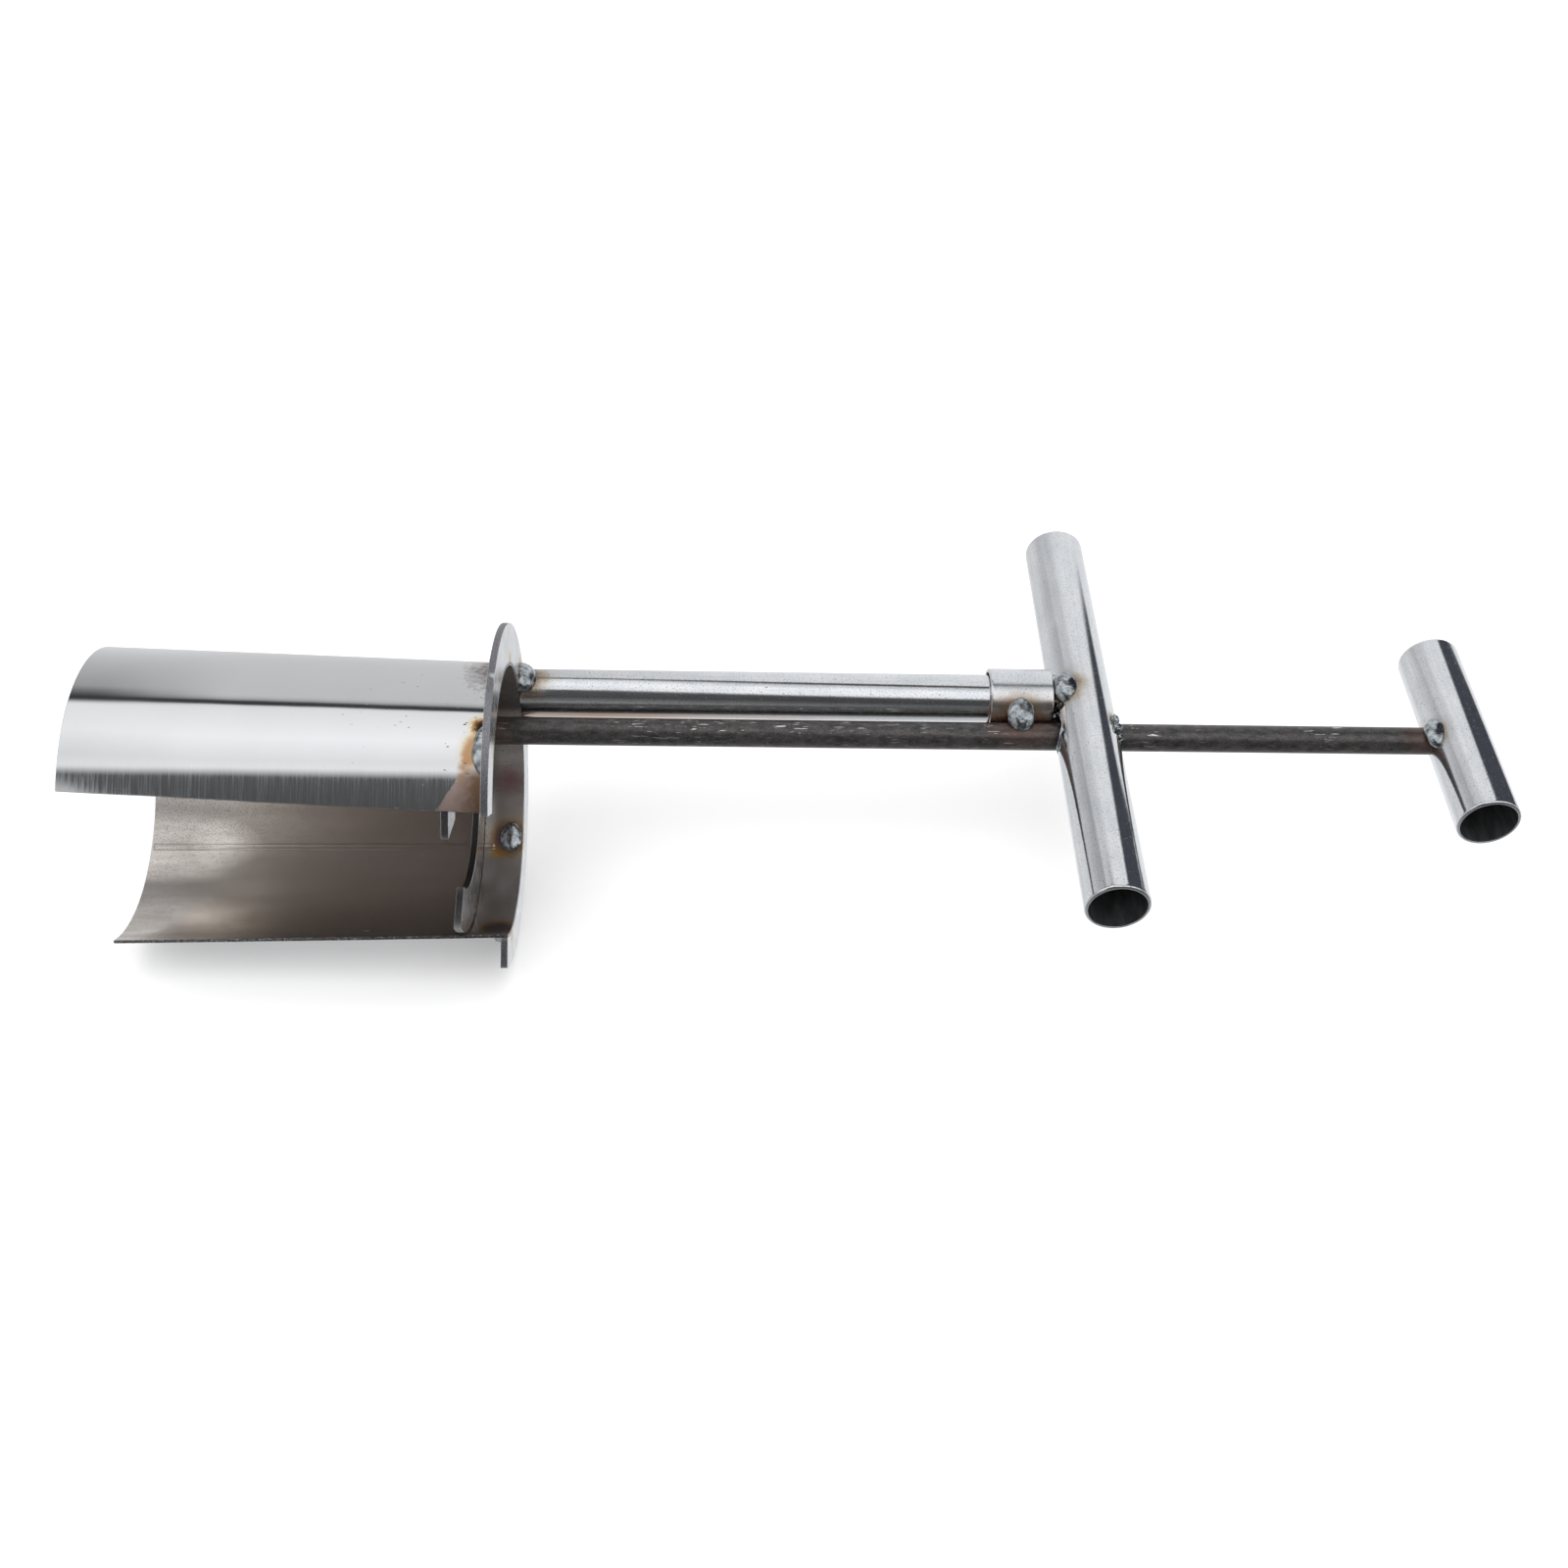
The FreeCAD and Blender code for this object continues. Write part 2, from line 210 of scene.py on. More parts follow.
class Shader(Wiring):
    """Wires one procedural material. Positions are the row frame at rest, so looks ride with the piece."""

    def __init__(self, name):
        self.material = bpy.data.materials.new(name)
        self.material.use_nodes = True
        super().__init__(self.material.node_tree)
        self.surface = self.tree.nodes["Principled BSDF"]
        self.position = self.node("ShaderNodeTexCoord").outputs["Object"]

    def math(self, operation, first, second=0.0, clamp=False):
        made = self.node("ShaderNodeMath", operation=operation, use_clamp=clamp)
        self.feed(made.inputs[0], first)
        self.feed(made.inputs[1], second)
        return made.outputs[0]

    def scaled(self, value, gain, base):
        """Value times gain, plus base."""
        made = self.node("ShaderNodeMath", operation="MULTIPLY_ADD")
        self.feed(made.inputs[0], value)
        self.feed(made.inputs[1], gain)
        self.feed(made.inputs[2], base)
        return made.outputs[0]

    def stretched(self, stretch):
        made = self.node("ShaderNodeVectorMath", operation="MULTIPLY")
        self.feed(made.inputs[0], self.position)
        self.feed(made.inputs[1], stretch)
        return made.outputs[0]

    def noise(self, size, detail=3.0, stretch=(1, 1, 1)):
        """Noise whose features are about one size, in metres."""
        made = self.node("ShaderNodeTexNoise")
        self.feed(made.inputs["Vector"], self.stretched(stretch))
        self.feed(made.inputs["Scale"], 1.0 / size)
        self.feed(made.inputs["Detail"], detail)
        self.feed(made.inputs["Roughness"], 0.55)
        return made.outputs["Fac"]

    def ramp(self, factor, stops):
        """Value or colour between (place, value or colour) stops."""
        made = self.node("ShaderNodeValToRGB")
        elements = made.color_ramp.elements
        while len(elements) < len(stops):
            elements.new(0.5)
        for element, (place, colour) in zip(elements, stops):
            element.position = place
            element.color = (*colour, 1.0) if isinstance(colour, tuple) else (colour, colour, colour, 1.0)
        self.feed(made.inputs["Fac"], factor)
        return made.outputs["Color"]

    def axis(self, name):
        made = self.node("ShaderNodeSeparateXYZ")
        self.feed(made.inputs[0], self.position)
        return made.outputs[name]

    def part_of_normal(self, name):
        """One component of the true surface normal, in the frame the piece rests in."""
        turned = self.node("ShaderNodeVectorTransform", vector_type="NORMAL", convert_from="WORLD",
                           convert_to="OBJECT")
        self.feed(turned.inputs[0], self.node("ShaderNodeNewGeometry").outputs["True Normal"])
        made = self.node("ShaderNodeSeparateXYZ")
        self.feed(made.inputs[0], turned.outputs[0])
        return made.outputs[name]

    def span(self, value, low, high):
        """Value rescaled to run from 0 at low to 1 at high, and held there beyond."""
        made = self.node("ShaderNodeMapRange")
        self.feed(made.inputs[0], value)
        self.feed(made.inputs[1], low)
        self.feed(made.inputs[2], high)
        return made.outputs[0]

    def turn(self):
        """Degrees round the tool axis: 0 at +Y, 90 at the top."""
        return self.scaled(self.math("ARCTAN2", self.axis("Z"), self.axis("Y")), math.degrees(1.0), 0.0)

    def patch(self, place, size, soft=0.5, ragged=0.5, lean=0.0, grain=2.2 * MM):
        """1 inside an oval on the shell, given as (x, degrees) centre and half size, with an uneven edge."""
        round_it = self.math("SUBTRACT", self.turn(), place[1])
        along = self.math("SUBTRACT", self.axis("X"), place[0])
        along = self.math("SUBTRACT", along, self.math("MULTIPLY", round_it, lean))
        along = self.math("DIVIDE", along, size[0])
        across = self.math("DIVIDE", round_it, size[1])
        squares = self.math("ADD", self.math("POWER", along, 2.0), self.math("POWER", across, 2.0))
        gap = self.math("SQRT", squares)
        wander = self.math("SUBTRACT", self.noise(grain, 4.0), 0.5)
        return self.span(self.scaled(wander, ragged, gap), 1.0, 1.0 - soft)

    def heat(self, spots, ragged=0.25):
        """1 at a weld, falling to 0 at the reach of its tint, with an uneven edge."""
        total = 0.0
        for centre, reach in spots:
            gap = self.node("ShaderNodeVectorMath", operation="DISTANCE")
            self.feed(gap.inputs[0], self.position)
            self.feed(gap.inputs[1], tuple(centre))
            near = self.span(gap.outputs["Value"], reach, 0.0)
            total = self.math("MAXIMUM", near, total)
        wander = self.math("SUBTRACT", self.noise(5 * MM, 4.0), 0.5)
        shifted = self.scaled(wander, ragged, total)
        return self.math("MULTIPLY", shifted, self.math("GREATER_THAN", total, 0.001), clamp=True)

    def bump(self, height, depth, strength=1.0, under=None):
        made = self.node("ShaderNodeBump")
        self.feed(made.inputs["Strength"], strength)
        self.feed(made.inputs["Distance"], depth)
        self.feed(made.inputs["Height"], height)
        if under is not None:
            self.feed(made.inputs["Normal"], under)
        return made.outputs["Normal"]

    def finish(self, colour, roughness, metallic=1.0, normal=None):
        self.feed(self.surface.inputs["Base Color"], colour)
        self.feed(self.surface.inputs["Roughness"], roughness)
        self.feed(self.surface.inputs["Metallic"], metallic)
        if normal is not None:
            self.feed(self.surface.inputs["Normal"], normal)
        return self.material


# Oxide colours from cool to hot: clean, straw, brown, purple, blue-grey, soot.
TINT = [
    (0.00, (1.0, 1.0, 1.0)),
    (0.22, (0.98, 0.93, 0.82)),
    (0.40, (0.80, 0.60, 0.38)),
    (0.54, (0.50, 0.33, 0.26)),
    (0.66, (0.30, 0.24, 0.33)),
    (0.80, (0.22, 0.24, 0.30)),
    (1.00, (0.10, 0.09, 0.09)),
]
# The same on zinc coating, which burns to a dull grey-brown.
ZINC_TINT = [
    (0.00, (1.0, 1.0, 1.0)),
    (0.30, (0.92, 0.90, 0.87)),
    (0.50, (0.70, 0.61, 0.50)),
    (0.68, (0.40, 0.31, 0.24)),
    (1.00, (0.14, 0.11, 0.09)),
]


def polished_shell(spots):
    """Mirror-polished stainless: hoop brush lines, scratches, and burnt metal round the near weld."""
    s = Shader("polished_stainless")
    heat = s.heat(spots)
    smudge = s.noise(28 * MM, 3.0)
    hoop = s.noise(0.45 * MM, 3.0, stretch=(1.0, 0.03, 0.03))
    low_flank = s.span(s.turn(), BRUSHED_FROM, BRUSHED_FULL)
    brushed = s.math("MULTIPLY", s.ramp(hoop, [(0.42, 0.0), (0.62, 1.0)]), low_flank)
    nick = s.ramp(s.noise(1.2 * MM, 1.0, stretch=(0.35, 1, 1)), [(0.755, 0.0), (0.775, 1.0)])
    nick_zone = s.span(s.axis("X"), 95 * MM, 150 * MM)
    marks = s.math("MULTIPLY", nick, nick_zone)
    polished = s.mix(smudge, (0.80, 0.80, 0.805), (0.86, 0.86, 0.865))
    clean = s.mix(s.math("MULTIPLY", brushed, 0.5), polished, (1.0, 1.0, 1.0))
    tinted = s.mix(1.0, clean, s.ramp(heat, TINT), blend="MULTIPLY")

    stain = s.patch(*TOP_STAIN, soft=0.8, ragged=1.2)
    grit = s.ramp(s.noise(0.9 * MM, 4.0), [(0.34, 0.7), (0.50, 1.0)])
    stained = s.mix(s.math("MULTIPLY", stain, grit), tinted, (0.17, 0.125, 0.095))
    # Burnt corner between the weld and the window: a slanting edge, taupe, then dark brown at the flange.
    past_edge = s.math("SUBTRACT", s.turn(), BURNT_EDGE_TURN)
    slant = s.math("ADD", s.axis("X"), s.math("MULTIPLY", past_edge, BURNT_EDGE_LEAN))
    edge = s.span(slant, BURNT_EDGE_X - 0.6 * MM, BURNT_EDGE_X + 0.6 * MM)
    corner = s.math("MULTIPLY", edge, s.span(s.turn(), 117.0, 124.0))
    wander = s.math("SUBTRACT", s.noise(3 * MM, 3.0), 0.5)
    brown = s.span(s.scaled(wander, 9 * MM, s.axis("X")), 149 * MM, 157 * MM)
    burnt = s.mix(brown, (0.62, 0.47, 0.42), (0.30, 0.185, 0.12))
    cornered = s.mix(corner, stained, burnt)
    streak = s.patch(*WELD_STREAK, soft=0.6, ragged=1.1, lean=STREAK_LEAN)
    streaked = s.mix(streak, cornered, (0.56, 0.34, 0.18))
    fringe = s.patch(*WELD_FRINGE, soft=0.6, ragged=1.0)
    fringed = s.mix(fringe, streaked, (0.80, 0.66, 0.40))
    halo = s.patch(*SOOT_HALO, soft=0.45, ragged=1.1)
    haloed = s.mix(halo, fringed, (0.34, 0.15, 0.05))
    soot = s.patch(*SOOT_SPOT, soft=0.5, ragged=0.9)
    colour = s.mix(soot, haloed, (0.03, 0.022, 0.018))
    colour = s.mix(marks, colour, (0.14, 0.13, 0.12))

    dull = s.math("MAXIMUM", s.math("MAXIMUM", corner, s.math("MULTIPLY", streak, 0.7)), stain)
    rough = s.scaled(dull, 0.36, s.scaled(smudge, 0.035, 0.045))
    rough = s.scaled(brushed, 0.09, rough)
    ripple = s.bump(s.noise(40 * MM, 2.0), 0.10 * MM)
    fine = s.bump(hoop, 0.003 * MM, 0.6, under=ripple)
    return s.finish(colour, rough, normal=s.bump(marks, -0.05 * MM, 1.0, under=fine))


def shell_inside(spots):
    """Unpolished inner wall: taupe, pitted and tinted by the weld, with painted shade that makes it darker
    towards the flange and two soft bright patches that are painted reflections.
    """
    s = Shader("stainless_inside")
    heat = s.heat(spots, ragged=0.3)
    depth = s.span(s.axis("X"), 0.0, SHELL_END)
    streak = s.noise(9 * MM, 4.0, stretch=(0.16, 1, 1))
    speck = s.ramp(s.noise(0.45 * MM, 2.0), [(0.58, 0.0), (0.66, 1.0)])
    upper = s.math("MAXIMUM", s.span(s.turn(), -82.0, -60.0), s.span(s.axis("X"), 18 * MM, 4 * MM))
    upper = s.math("MAXIMUM", upper, s.span(s.axis("X"), 146 * MM, 150 * MM))
    # Painted shade: lightest at the open mouth, darker deeper in, a little lighter again at the flange end.
    taupe = [
        (0.0, (0.78, 0.73, 0.68)),
        (0.30, (0.66, 0.61, 0.565)),
        (0.42, (0.54, 0.49, 0.46)),
        (0.90, (0.54, 0.485, 0.455)),
        (0.96, (0.66, 0.62, 0.60)),
    ]
    base = s.ramp(depth, taupe)
    streaked = s.mix(s.ramp(streak, [(0.35, 0.0), (0.7, 0.55)]), base, (0.42, 0.37, 0.335))
    # Painted reflections: two soft bright patches near the mouth, mixed into the wall colour.
    bright = s.patch(*MOUTH_REFLECTION_PATCH, soft=0.9, ragged=0.8, grain=14 * MM)
    lower = s.patch(*LOW_REFLECTION_PATCH, soft=0.9, ragged=0.8, grain=14 * MM)
    cloud = s.math("MAXIMUM", bright, s.math("MULTIPLY", lower, 0.8))
    reflection_painted = s.mix(cloud, streaked, (1.0, 0.94, 0.87))
    mottle = s.patch(*RED_MOTTLE, soft=0.8, ragged=0.9, grain=1.2 * MM)
    mottled = s.mix(s.math("MULTIPLY", mottle, 0.8), reflection_painted, (0.42, 0.20, 0.19))
    straw = s.patch(*STRAW_PATCH, soft=0.6, ragged=0.8)
    warmed = s.mix(s.math("MULTIPLY", straw, 0.85), mottled, (0.72, 0.46, 0.16))
    speckled = s.mix(s.math("MULTIPLY", speck, s.scaled(upper, 0.36, 0.20)), warmed, (0.07, 0.06, 0.055))
    colour = s.mix(1.0, speckled, s.ramp(heat, TINT), blend="MULTIPLY")
    rough = s.scaled(streak, 0.18, 0.14)
    lay = s.bump(streak, 0.06 * MM, 0.6)
    return s.finish(colour, rough, metallic=0.94, normal=s.bump(speck, -0.03 * MM, 0.6, under=lay))


def cut_edge():
    """Sheared edge of the shell: dark, with bright nicks."""
    s = Shader("sheared_edge")
    drag = s.noise(0.7 * MM, 3.0)
    colour = s.ramp(drag, [(0.40, 0.10), (0.62, 0.30), (0.70, 0.80)])
    return s.finish(colour, 0.3, normal=s.bump(drag, 0.08 * MM))


def plate(spots, name, low, high, rim):
    """Plate with a mottled bright face, dark, gritty cut edges, and a painted highlight along its sharp
    edges.
    """
    s = Shader(name)
    heat = s.heat(spots)
    mottle = s.noise(7 * MM, 5.0)
    grit = s.noise(0.5 * MM, 3.0)
    facing = s.math("ABSOLUTE", s.part_of_normal("X"))
    edge = s.math("LESS_THAN", facing, 0.5)
    face = s.mix(s.ramp(mottle, [(0.35, 0.0), (0.68, 1.0)]), low, high)
    gritty = s.mix(s.ramp(grit, [(0.50, 0.0), (0.72, 0.5)]), face, (0.12, 0.12, 0.12))
    dark_rim = tuple(0.6 * part for part in rim)
    bright_rim = tuple(1.7 * part for part in rim)
    cut = s.ramp(grit, [(0.36, dark_rim), (0.50, rim), (0.68, bright_rim)])
    tinted = s.mix(1.0, s.mix(edge, gritty, cut), s.ramp(heat, TINT), blend="MULTIPLY")
    # Painted highlight: sharp edges lightened towards pale grey.
    edge_highlight = s.ramp(s.node("ShaderNodeNewGeometry").outputs["Pointiness"], [(0.52, 0.0), (0.58, 1.0)])
    colour = s.mix(s.math("MULTIPLY", edge_highlight, 0.85), tinted, (0.85, 0.85, 0.86))
    rough = s.scaled(mottle, 0.18, s.scaled(edge, 0.16, 0.16))
    lay = s.bump(mottle, 0.10 * MM, 0.5)
    return s.finish(colour, rough, normal=s.bump(grit, s.scaled(edge, 0.06 * MM, 0.012 * MM), 0.8, under=lay))


def zinc_pipe(name, spots, gloss, along, under=None):
    """Galvanised pipe: fine spangle and drawing lines along the pipe, pits, burnt zinc beside the welds."""
    s = Shader(name)
    heat = s.heat(spots, ragged=0.35)
    lines = (0.025, 1, 1) if along == "X" else (1, 0.025, 1)
    drawn = s.noise(0.8 * MM, 3.0, stretch=lines)
    fine = s.noise(0.65 * MM, 4.0)
    cloud = s.noise(9 * MM, 4.0, stretch=(0.5, 1, 1) if along == "X" else (1, 0.5, 1))
    pit = s.ramp(s.noise(0.9 * MM, 1.0), [(0.735, 0.0), (0.76, 1.0)])
    base = s.mix(s.ramp(cloud, [(0.32, 0.0), (0.68, 1.0)]), (0.80, 0.815, 0.84), (0.93, 0.935, 0.94))
    lined = s.mix(s.ramp(drawn, [(0.42, 0.0), (0.75, 0.35)]), base, (0.64, 0.65, 0.67))
    frosted = s.mix(s.ramp(fine, [(0.52, 0.0), (0.68, 0.7)]), lined, (0.56, 0.57, 0.59))
    pitted = s.mix(s.math("MULTIPLY", pit, 0.8), frosted, (0.16, 0.16, 0.165))
    colour = s.mix(1.0, pitted, s.ramp(heat, ZINC_TINT), blend="MULTIPLY")
    if under is not None:
        colour = s.mix(under(s), colour, (0.66, 0.43, 0.29))
    haze = s.scaled(s.math("ADD", s.math("MULTIPLY", cloud, 0.4), heat), 0.20, gloss)
    lay = s.bump(drawn, 0.008 * MM, 0.6)
    frost = s.bump(fine, 0.019 * MM, 0.9, under=lay)
    return s.finish(colour, haze, normal=s.bump(pit, -0.12 * MM, 1.0, under=frost))


def warm_underside(s):
    """Straw-brown band low on the stem, strongest beside the flange."""
    low = s.math("MULTIPLY", s.span(s.axis("Z"), 1 * MM, -3 * MM), s.span(s.axis("X"), 330 * MM, 175 * MM))
    uneven = s.ramp(s.noise(3 * MM, 3.0, stretch=(0.05, 1, 1)), [(0.35, 0.3), (0.6, 1.0)])
    return s.math("MULTIPLY", low, uneven)


def warm_sleeve(s):
    """Brown bloom over the lower half of the sleeve."""
    uneven = s.ramp(s.noise(4 * MM, 4.0), [(0.3, 0.35), (0.65, 1.0)])
    return s.math("MULTIPLY", s.span(s.axis("Z"), 12 * MM, 5 * MM), s.math("MULTIPLY", uneven, 0.75))


def pipe_bore():
    """Inside of the handle pipes: near-black painted shade, mottled with dust."""
    s = Shader("pipe_bore")
    dust = s.noise(4 * MM, 4.0, stretch=(1, 0.3, 1))
    # Painted shade: the bore is coloured near-black, as if unlit, with dusty mottling.
    colour = s.ramp(dust, [(0.3, (0.035, 0.036, 0.038)), (0.7, (0.10, 0.105, 0.11))])
    return s.finish(colour, 0.45, metallic=0.6, normal=s.bump(dust, 0.08 * MM))


def scaled_bar(spots):
    """Dark mill scale, with a brown bloom at the welds and bright scratches where it has slid, gathered along
    the top of the bar as a painted highlight.
    """
    s = Shader("hot_rolled_bar")
    heat = s.heat(spots, ragged=0.3)
    scale = s.noise(1.8 * MM, 5.0, stretch=(0.40, 1, 1))
    speck = s.ramp(s.noise(0.5 * MM, 2.0), [(0.56, 0.0), (0.70, 1.0)])
    rub = s.ramp(s.noise(0.7 * MM, 2.0, stretch=(0.10, 1, 1)), [(0.64, 0.0), (0.69, 1.0)])
    rub_zone = s.ramp(s.noise(26 * MM, 2.0), [(0.50, 0.0), (0.60, 1.0)])
    # Painted highlight: the bright scratches are strongest along the top of the bar.
    top_highlight = s.span(s.axis("Z"), ROD.z + 0.6 * ROD_R, ROD.z + 0.9 * ROD_R)
    scratch_and_highlight = s.math("MULTIPLY", s.math("MULTIPLY", rub, rub_zone), s.scaled(top_highlight, 0.7, 0.3))
    base = s.mix(s.ramp(scale, [(0.3, 0.0), (0.7, 1.0)]), (0.050, 0.048, 0.047), (0.125, 0.118, 0.115))
    spotted = s.mix(s.math("MULTIPLY", speck, 0.5), base, (0.30, 0.29, 0.285))
    bloom = s.mix(s.math("MULTIPLY", heat, 0.8), spotted, (0.16, 0.085, 0.065))
    colour = s.mix(scratch_and_highlight, bloom, (0.88, 0.87, 0.86))
    rough = s.scaled(scale, 0.20, 0.26)
    lay = s.bump(scale, 0.08 * MM, 0.7)
    return s.finish(colour, rough, metallic=0.8, normal=s.bump(speck, 0.02 * MM, 0.8, under=lay))


def weld_surface():
    """Solidified weld metal: shiny blue-grey skin, brown oxide in the hollows."""
    s = Shader("weld_metal")
    crest = s.node("ShaderNodeNewGeometry").outputs["Pointiness"]
    slag = s.noise(2.2 * MM, 4.0)
    fine = s.noise(0.5 * MM, 2.0)
    tone = s.ramp(slag, [(0.36, (0.22, 0.24, 0.26)), (0.48, (0.40, 0.43, 0.45)), (0.64, (0.64, 0.67, 0.68))])
    hollow = s.ramp(crest, [(0.40, 1.0), (0.47, 0.0)])
    colour = s.mix(hollow, tone, (0.10, 0.07, 0.05))
    rough = s.scaled(slag, 0.22, 0.10)
    return s.finish(colour, rough, normal=s.bump(fine, 0.02 * MM, 0.6))


# ---------------------------------------------------------------- mesh building

def piece(name, verts, faces, materials, body, stands_for=(), face_slots=None):
    """A shown mesh that rides on a CAD body."""
    mesh = bpy.data.meshes.new(name)
    mesh.from_pydata(verts, [], faces)
    for material in materials:
        mesh.materials.append(material)
    if face_slots:
        mesh.polygons.foreach_set("material_index", face_slots)
    bm = bmesh.new()
    bm.from_mesh(mesh)
    bmesh.ops.recalc_face_normals(bm, faces=bm.faces)
    bm.to_mesh(mesh)
    bm.free()
    mesh.shade_smooth()
    made = bpy.data.objects.new(name, mesh)
    bpy.context.scene.collection.objects.link(made)
    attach(made, body)
    if stands_for:
        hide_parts(*stands_for)
    return made


def rounded(made, width):
    """Small round on every sharp edge."""
    modifier = made.modifiers.new("edge_round", "BEVEL")
    modifier.width = width
    modifier.segments = 3
    modifier.limit_method = "ANGLE"
    modifier.angle_limit = math.radians(35.0)
    modifier.harden_normals = True
    return made


def evaluated(made):
    """Replaces a mesh with what its modifiers make of it."""
    bpy.context.view_layer.update()
    graph = bpy.context.evaluated_depsgraph_get()
    result = bpy.data.meshes.new_from_object(made.evaluated_get(graph), depsgraph=graph)
    made.modifiers.clear()
    made.data = result
    return made


def grid_faces(rows, columns, wrap):
    """Quads over a grid of points stored row by row."""
    faces = []
    for row in range(rows - 1):
        for column in range(columns if wrap else columns - 1):
            after = (column + 1) % columns
            faces.append((row * columns + column, row * columns + after,
                          (row + 1) * columns + after, (row + 1) * columns + column))
    return faces


def lathe(profile, axis, centre, segments=128, wobble=0.0):
    """Closed profile of (distance along, radius) points turned about an axis parallel to X or Y."""
    verts = []
    for along, radius in profile:
        for step in range(segments):
            angle = 2 * math.pi * step / segments
            reach = radius
            if wobble:
                place = Vector((along * 12.0, math.cos(angle) * 0.7, math.sin(angle) * 0.7))
                reach += wobble * noise.noise(place)
            across = (reach * math.cos(angle), reach * math.sin(angle))
            if axis == "X":
                verts.append((along, centre.y + across[0], centre.z + across[1]))
            else:
                verts.append((centre.x + across[0], along, centre.z + across[1]))
    rows = len(profile)
    faces = grid_faces(rows, segments, wrap=True)
    last = (rows - 1) * segments
    for step in range(segments):
        after = (step + 1) % segments
        faces.append((last + step, last + after, after, step))
    return verts, faces


def turned_solid(profile, axis, centre, segments=96, wobble=0.0):
    """Open profile of (distance along, radius) points turned about an axis, with a flat face at each end."""
    verts, faces = lathe(profile, axis, centre, segments, wobble)
    last = (len(profile) - 1) * segments
    faces = faces[:-segments]
    faces.append(tuple(range(segments)))
    faces.append(tuple(range(last, last + segments)))
    return verts, faces


def arc(centre, radius, start, end, steps):
    return [
        (centre[0] + radius * math.cos(start + (end - start) * step / steps),
         centre[1] + radius * math.sin(start + (end - start) * step / steps))
        for step in range(steps + 1)
    ]


def pipe_profile(start, end, outer, wall, lip):
    """Outside, rounded lip, inside and back: a pipe wall with deburred ends."""
    inner = outer - wall
    inside_lip = 0.25 * MM
    near = 0.6 * MM             # plain wall kept next to each lip, so that it shades crisply
    stations = 24
    straight = start + lip + near
    length = end - start - 2 * (lip + near)
    points = arc((start + lip, outer - lip), lip, math.pi, math.pi / 2, 5)
    points += [(straight + length * step / stations, outer) for step in range(stations + 1)]
    points += arc((end - lip, outer - lip), lip, math.pi / 2, 0.0, 5)
    points += arc((end - inside_lip, inner + inside_lip), inside_lip, 0.0, -math.pi / 2, 3)
    points += [(end - inside_lip - near, inner), (start + inside_lip + near, inner)]
    points += arc((start + inside_lip, inner + inside_lip), inside_lip, -math.pi / 2, -math.pi, 3)
    return points


def on_circle(radius, angle):
    """(Y, Z) at an angle from +Y towards +Z."""
    return radius * math.cos(angle), radius * math.sin(angle)


def polar(x, radius, angle):
    return (x, *on_circle(radius, angle))


def shell_radius(x):
    """Outside radius of the shell, easing into the straight stretch under the flange."""
    share = min(x / SHELL_TAPER_LEN, 1.0)
    ease = 0.93
    if share > ease:
        over = (share - ease) / (1.0 - ease)
        share = ease + (1.0 - ease) * (1.5 * over - 0.5 * over ** 3)
        share = min(share, 1.0)
    return SHELL_MOUTH_R + (SHELL_FLANGE_R - SHELL_MOUTH_R) * share


def window_half(x):
    return WINDOW_HALF_MOUTH + (WINDOW_HALF_FLANGE - WINDOW_HALF_MOUTH) * x / SHELL_END


def build_shell(outside, inside, edge):
    """C-shaped shell with a slightly wavy wall and hand-cut window edges."""
    rows, columns = 97, 241
    verts = []
    for layer in (0.0, SHELL_WALL):
        for row in range(rows):
            x = SHELL_END * row / (rows - 1)
            uneven = EDGE_WANDER * noise.noise(Vector((x * 45.0, 3.1, 0.0))) / SHELL_MOUTH_R
            half = math.pi - window_half(x) + uneven
            for column in range(columns):
                angle = -half + 2 * half * column / (columns - 1)
                place = Vector((x * 18.0, 2.2 * math.cos(angle), 2.2 * math.sin(angle)))
                wave = WALL_WAVE * noise.noise(place)
                verts.append(polar(x, shell_radius(x) - layer + wave, angle))
    count = rows * columns
    outer = grid_faces(rows, columns, wrap=False)
    inner = [tuple(count + index for index in face) for face in outer]
    rim = []
    for row in range(rows - 1):
        for column in (0, columns - 1):
            a, b = row * columns + column, (row + 1) * columns + column
            rim.append((a, b, count + b, count + a))
    for column in range(columns - 1):
        for row in (0, rows - 1):
            a, b = row * columns + column, row * columns + column + 1
            rim.append((a, b, count + b, count + a))
    slots = [0] * len(outer) + [1] * len(inner) + [2] * len(rim)
    made = piece("shell", verts, outer + inner + rim, [outside, inside, edge], DIGGER,
                 ["core_shell"], slots)
    return rounded(made, EDGE_ROUND)


def build_seam(material):
    """Rolled-down weld seam: two fine ridges with a flat trough between them."""
    rows = 120
    half_section = [(0.18, 0.45), (0.30, 1.0), (0.42, 0.6), (0.5, -0.2)]
    section = [(-share, height) for share, height in reversed(half_section)] + half_section
    low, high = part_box("shell_seam")
    verts = []
    for row in range(rows):
        x = low.x + (high.x - low.x) * row / (rows - 1)
        bore = shell_radius(x) - SHELL_WALL
        for share, height in section:
            lump = 1.0 + 0.25 * noise.noise(Vector((x * 160.0, share * 3.0, 0.0)))
            angle = SEAM_ANGLE + share * SEAM_WIDTH / bore
            verts.append(polar(x, bore - height * lump * SEAM_HEIGHT, angle))
    columns = len(section)
    faces = grid_faces(rows, columns, wrap=True)
    faces.append(tuple(range(columns)))
    faces.append(tuple((rows - 1) * columns + index for index in range(columns)))
    return piece("seam", verts, faces, [material], DIGGER, ["shell_seam"])


